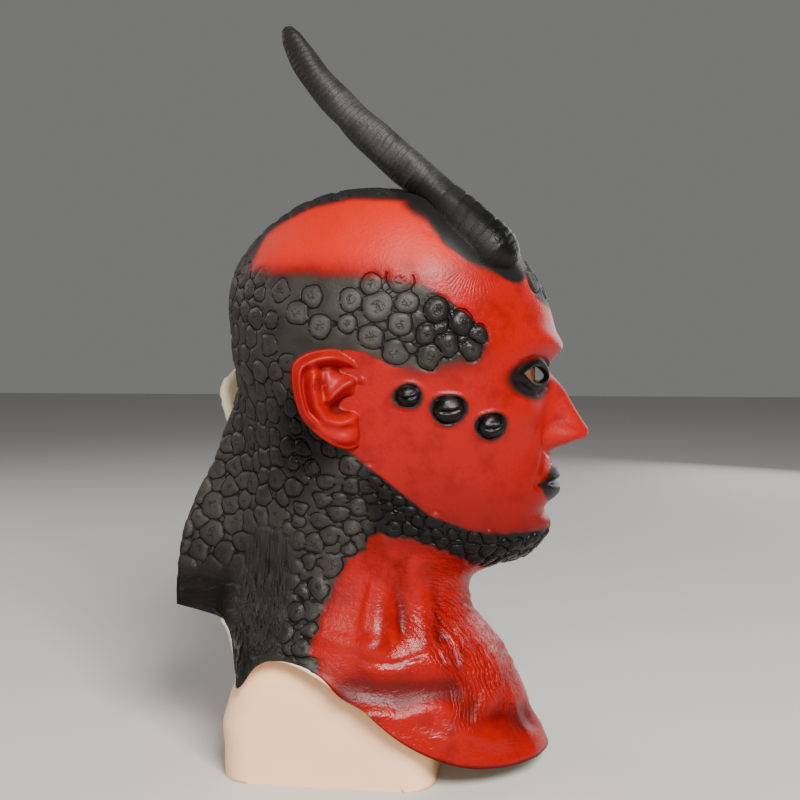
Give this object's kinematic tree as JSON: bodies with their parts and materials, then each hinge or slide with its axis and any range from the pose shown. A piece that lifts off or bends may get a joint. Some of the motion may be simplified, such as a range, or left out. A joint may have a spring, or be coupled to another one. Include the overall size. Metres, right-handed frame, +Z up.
{
  "type": "devil mask",
  "caption": "Full-head latex devil mask with swept-back ringed horns, scaly plates and a bib neck, worn over a plain display head.",
  "frame": {"origin": "on the midline of the display head's flat underside, below the middle of the head", "axes": "+Z up, the face looks along -Y, +X is the mask's own left"},
  "size_m": [0.1978, 0.2672, 0.4695],
  "materials": {
    "mask_latex": "satin painted latex, red skin with charcoal scales",
    "horn_latex": "satin, ringed",
    "display_plastic": "smooth satin"
  },
  "bodies": {
    "root": {"mask": "mask_latex", "horn_right": "horn_latex", "horn_left": "horn_latex", "display_head": "display_plastic"}
  },
  "joints": []
}
